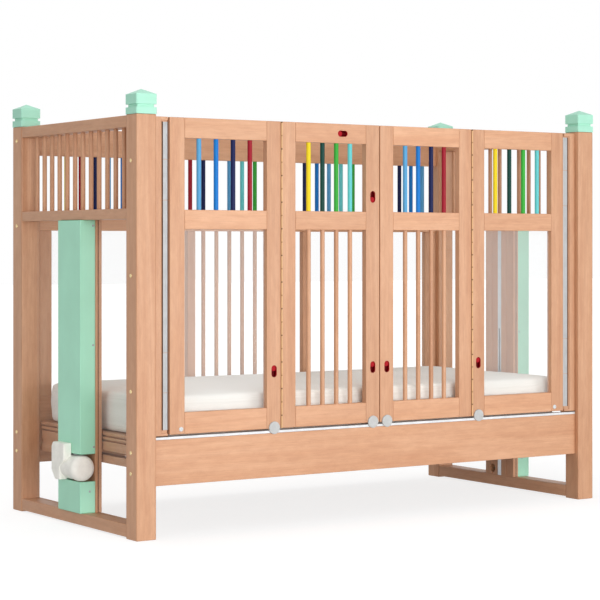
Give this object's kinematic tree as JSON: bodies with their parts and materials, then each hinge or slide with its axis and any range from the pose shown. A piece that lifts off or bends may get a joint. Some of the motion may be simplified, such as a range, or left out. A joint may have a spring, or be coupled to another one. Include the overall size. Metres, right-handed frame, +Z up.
{
  "type": "pediatric hospital cot",
  "caption": "High-sided beech hospital cot with folding front doors, rod and clear-panel sides, mint post caps and lifting columns that raise the mattress platform.",
  "frame": {"origin": "on the floor under the middle of the cot", "axes": "+X along the cot to the right as seen from the doors, +Y from the doors to the back, +Z up"},
  "size_m": [2.278, 1.043, 1.6373],
  "materials": {
    "beech": "clear lacquer",
    "cap_paint": "satin mint paint",
    "column_paint": "satin mint paint",
    "aluminium": "anodised",
    "steel": "brushed",
    "hinge_brass": "satin",
    "motor_plastic": "off-white matt",
    "latch_plastic": "red gloss",
    "mattress_cover": "white cotton sheet",
    "clear_panel": "clear acrylic"
  },
  "bodies": {
    "frame": {"post_front_left": "beech", "post_front_right": "beech", "post_rear_left": "beech", "post_rear_right": "beech", "cap_front_left": "cap_paint", "cap_front_right": "cap_paint", "cap_rear_left": "cap_paint", "cap_rear_right": "cap_paint", "left_end_grille": "beech", "right_end_grille": "beech", "left_end_bottom_rail": "beech", "right_end_bottom_rail": "beech", "left_guide_board": "beech", "right_guide_board": "beech", "left_guide_profile": "aluminium", "right_guide_profile": "aluminium", "left_end_pane": "clear_panel", "right_end_pane": "clear_panel", "left_column_cover_lower": "column_paint", "right_column_cover_lower": "column_paint", "left_column_cover_upper": "column_paint", "right_column_cover_upper": "column_paint", "left_lift_motor": "motor_plastic", "right_lift_motor": "motor_plastic", "left_jamb": "beech", "right_jamb": "beech", "left_hinge_strip": "aluminium", "right_hinge_strip": "aluminium", "front_board": "beech", "latch_rail": "aluminium", "back_board": "beech", "back_lattice": "beech", "back_pane_left": "clear_panel", "back_pane_right": "clear_panel"},
    "lift_platform": {"platform": "beech", "mattress": "mattress_cover", "left_lift_carriage": "steel", "right_lift_carriage": "steel"},
    "left_outer_door": {"door_1_frame": "beech", "door_1_rods": "beech", "door_1_pane": "clear_panel", "door_1_stop": "steel", "left_fold_hinge": "hinge_brass"},
    "left_inner_door": {"door_2_frame": "beech", "door_2_rods": "beech", "door_2_stop": "steel"},
    "right_inner_door": {"door_3_frame": "beech", "door_3_rods": "beech", "door_3_stop": "steel"},
    "right_outer_door": {"door_4_frame": "beech", "door_4_rods": "beech", "door_4_pane": "clear_panel", "door_4_stop": "steel", "right_fold_hinge": "hinge_brass"},
    "latch_1": {"door_1_latch": "latch_plastic"},
    "latch_2": {"door_2_latch": "latch_plastic"},
    "latch_3": {"door_3_latch": "latch_plastic"},
    "latch_4": {"door_4_latch": "latch_plastic"},
    "top_latch": {"door_2_top_latch": "latch_plastic"},
    "upper_latch": {"door_2_upper_latch": "latch_plastic"}
  },
  "joints": [
    {"name": "platform_lift", "type": "slide", "parent": "frame", "child": "lift_platform", "axis": [0, 0, 1], "range_m": [0, 0.38]},
    {"name": "left_door_swing", "type": "hinge", "parent": "frame", "child": "left_outer_door", "pos_m": [-0.9502, -0.497, 0.95], "axis": [0, 0, -1], "range_deg": [0, 90]},
    {"name": "left_door_fold", "type": "hinge", "parent": "left_outer_door", "child": "left_inner_door", "pos_m": [-0.46, -0.5032, 0.95], "axis": [0, 0, -1], "range_deg": [0, 178]},
    {"name": "right_door_swing", "type": "hinge", "parent": "frame", "child": "right_outer_door", "pos_m": [0.9502, -0.497, 0.95], "axis": [0, 0, 1], "range_deg": [0, 90]},
    {"name": "right_door_fold", "type": "hinge", "parent": "right_outer_door", "child": "right_inner_door", "pos_m": [0.46, -0.5032, 0.95], "axis": [0, 0, 1], "range_deg": [0, 178]},
    {"name": "latch_1_slide", "type": "slide", "parent": "left_outer_door", "child": "latch_1", "axis": [0, 0, -1], "range_m": [0, 0.022]},
    {"name": "latch_2_slide", "type": "slide", "parent": "left_inner_door", "child": "latch_2", "axis": [0, 0, -1], "range_m": [0, 0.022]},
    {"name": "latch_3_slide", "type": "slide", "parent": "right_inner_door", "child": "latch_3", "axis": [0, 0, -1], "range_m": [0, 0.022]},
    {"name": "latch_4_slide", "type": "slide", "parent": "right_outer_door", "child": "latch_4", "axis": [0, 0, -1], "range_m": [0, 0.022]},
    {"name": "top_latch_slide", "type": "slide", "parent": "left_inner_door", "child": "top_latch", "axis": [1, 0, 0], "range_m": [0, 0.022]},
    {"name": "upper_latch_slide", "type": "slide", "parent": "left_inner_door", "child": "upper_latch", "axis": [0, 0, 1], "range_m": [0, 0.022]}
  ]
}
